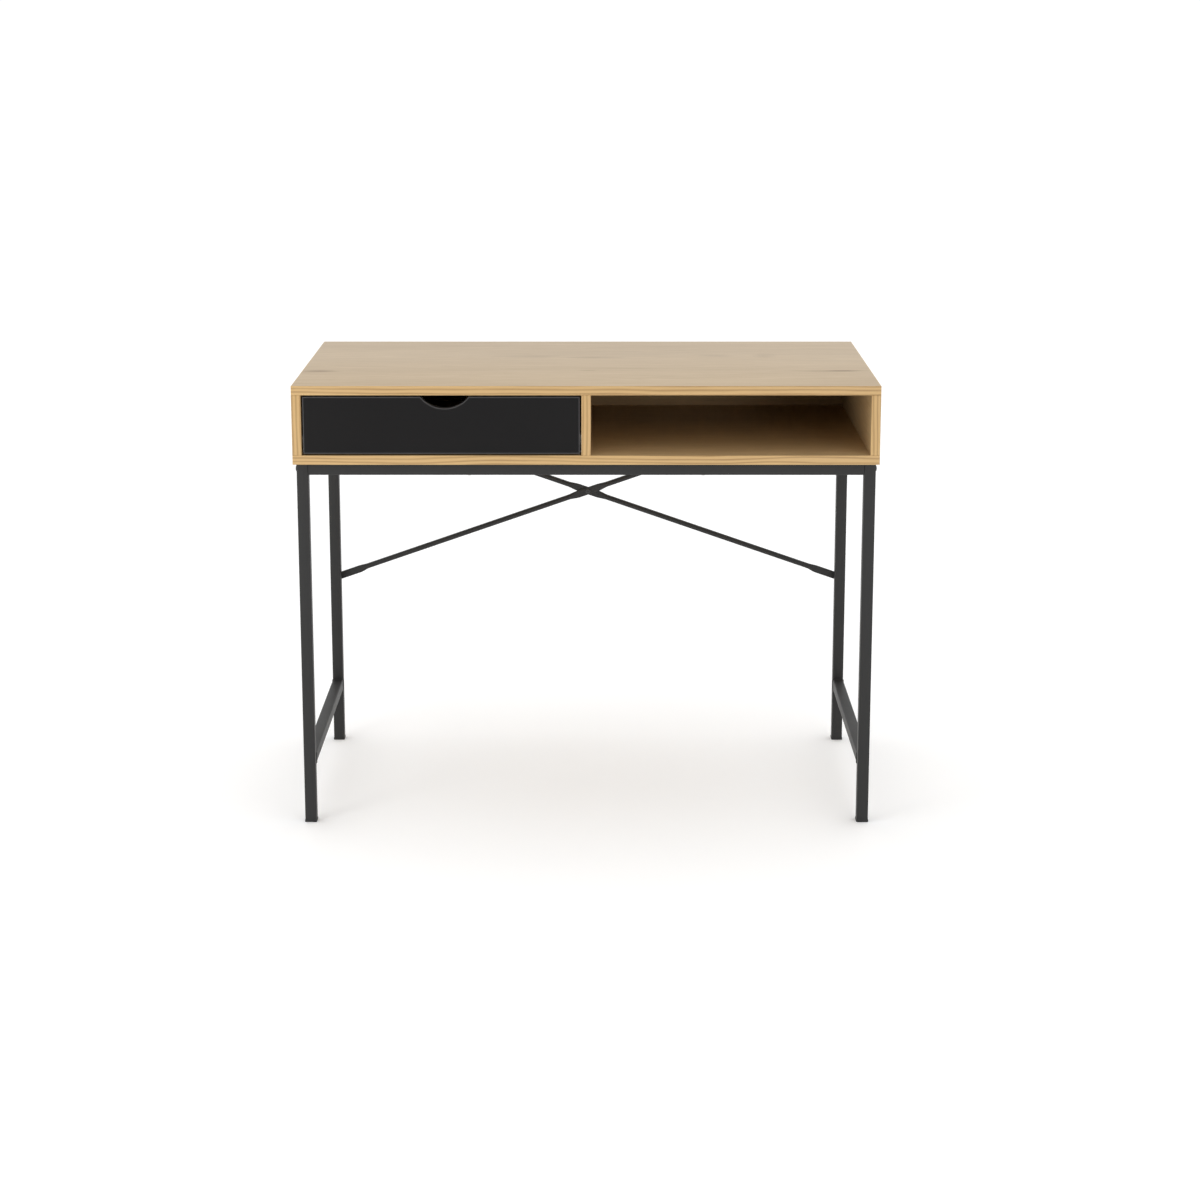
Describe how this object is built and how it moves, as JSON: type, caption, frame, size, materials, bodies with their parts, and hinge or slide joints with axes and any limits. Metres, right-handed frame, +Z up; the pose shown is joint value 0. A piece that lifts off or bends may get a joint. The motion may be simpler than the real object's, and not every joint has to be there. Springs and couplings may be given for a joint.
{
  "type": "writing desk",
  "caption": "Writing desk with a board top box, one pull-out drawer at the left, an open compartment at the right and a slim square-tube frame with a crossed rod brace.",
  "frame": {"origin": "on the floor, under the middle of the desk", "axes": "+X to the right along the width, -Y to the front where the drawer opens, +Z up"},
  "size_m": [1, 0.5, 0.78],
  "materials": {
    "oak_board": "matt oak-grain laminate on particle board",
    "black_board": "matt black laminate on particle board",
    "drawer_board": "plain oak-colour laminate on particle board",
    "fibre_sheet": "thin fibre board, smooth upper face",
    "powder_coat": "charcoal fine-texture powder coat on steel tube",
    "brace_coat": "charcoal fine-texture powder coat on steel rod",
    "black_bolt": "blackened steel",
    "zinc_screw": "zinc plated",
    "cam_metal": "die-cast zinc",
    "insert_metal": "plain steel",
    "dowel_wood": "plain fluted beech",
    "runner_enamel": "white enamel on pressed steel",
    "pin_steel": "plain steel",
    "roller_plastic": "natural nylon",
    "foot_plastic": "black moulded plastic"
  },
  "bodies": {
    "desk": {"top_panel": "oak_board", "bottom_panel": "oak_board", "left_side_panel": "oak_board", "right_side_panel": "oak_board", "divider_panel": "oak_board", "back_panel": "oak_board", "front_left_leg": "powder_coat", "front_right_leg": "powder_coat", "rear_left_leg": "powder_coat", "rear_right_leg": "powder_coat", "left_side_rail": "powder_coat", "right_side_rail": "powder_coat", "left_stretcher": "powder_coat", "right_stretcher": "powder_coat", "front_rail": "powder_coat", "rear_rail": "powder_coat", "brace_rising_rod": "brace_coat", "brace_falling_rod": "brace_coat", "rail_bolts": "black_bolt", "brace_bolts": "black_bolt", "brace_centre_bolt": "black_bolt", "brace_centre_nut": "black_bolt", "frame_screws": "zinc_screw", "confirmat_screws": "zinc_screw", "cabinet_runner_screws": "zinc_screw", "rivet_nuts": "zinc_screw", "cam_locks": "cam_metal", "cam_bolts": "cam_metal", "rail_inserts": "insert_metal", "wood_dowels": "dowel_wood", "left_cabinet_runner": "runner_enamel", "right_cabinet_runner": "runner_enamel", "cabinet_roller_pins": "pin_steel", "front_left_foot_cap": "foot_plastic", "front_right_foot_cap": "foot_plastic", "rear_left_foot_cap": "foot_plastic", "rear_right_foot_cap": "foot_plastic"},
    "drawer": {"drawer_front": "black_board", "drawer_left_side": "drawer_board", "drawer_right_side": "drawer_board", "drawer_back": "drawer_board", "drawer_bottom": "fibre_sheet", "drawer_cam_locks": "cam_metal", "drawer_cam_bolts": "cam_metal", "drawer_dowels": "dowel_wood", "drawer_back_screws": "zinc_screw", "drawer_bottom_screws": "zinc_screw", "drawer_runner_screws": "zinc_screw", "left_drawer_runner": "runner_enamel", "right_drawer_runner": "runner_enamel", "drawer_roller_pins": "pin_steel"},
    "left_front_roller": {"left_front_roller": "roller_plastic"},
    "right_front_roller": {"right_front_roller": "roller_plastic"},
    "left_rear_roller": {"left_rear_roller": "roller_plastic"},
    "right_rear_roller": {"right_rear_roller": "roller_plastic"}
  },
  "joints": [
    {"name": "drawer_slide", "type": "slide", "parent": "desk", "child": "drawer", "axis": [0, -1, 0], "range_m": [0, 0.3]},
    {"name": "left_front_roller_spin", "type": "hinge", "parent": "desk", "child": "left_front_roller", "pos_m": [-0.4789, -0.218, 0.683], "axis": [1, 0, 0], "continuous": true},
    {"name": "right_front_roller_spin", "type": "hinge", "parent": "desk", "child": "right_front_roller", "pos_m": [-0.0131, -0.218, 0.683], "axis": [1, 0, 0], "continuous": true},
    {"name": "left_rear_roller_spin", "type": "hinge", "parent": "drawer", "child": "left_rear_roller", "pos_m": [-0.4789, 0.16, 0.67225], "axis": [1, 0, 0], "continuous": true},
    {"name": "right_rear_roller_spin", "type": "hinge", "parent": "drawer", "child": "right_rear_roller", "pos_m": [-0.0131, 0.16, 0.67225], "axis": [1, 0, 0], "continuous": true}
  ],
  "couplings": [
    {"joint": "left_front_roller_spin", "follows": "drawer_slide", "rad_per_m": 100},
    {"joint": "right_front_roller_spin", "follows": "drawer_slide", "rad_per_m": 100},
    {"joint": "left_rear_roller_spin", "follows": "drawer_slide", "rad_per_m": 111.11},
    {"joint": "right_rear_roller_spin", "follows": "drawer_slide", "rad_per_m": 111.11}
  ]
}
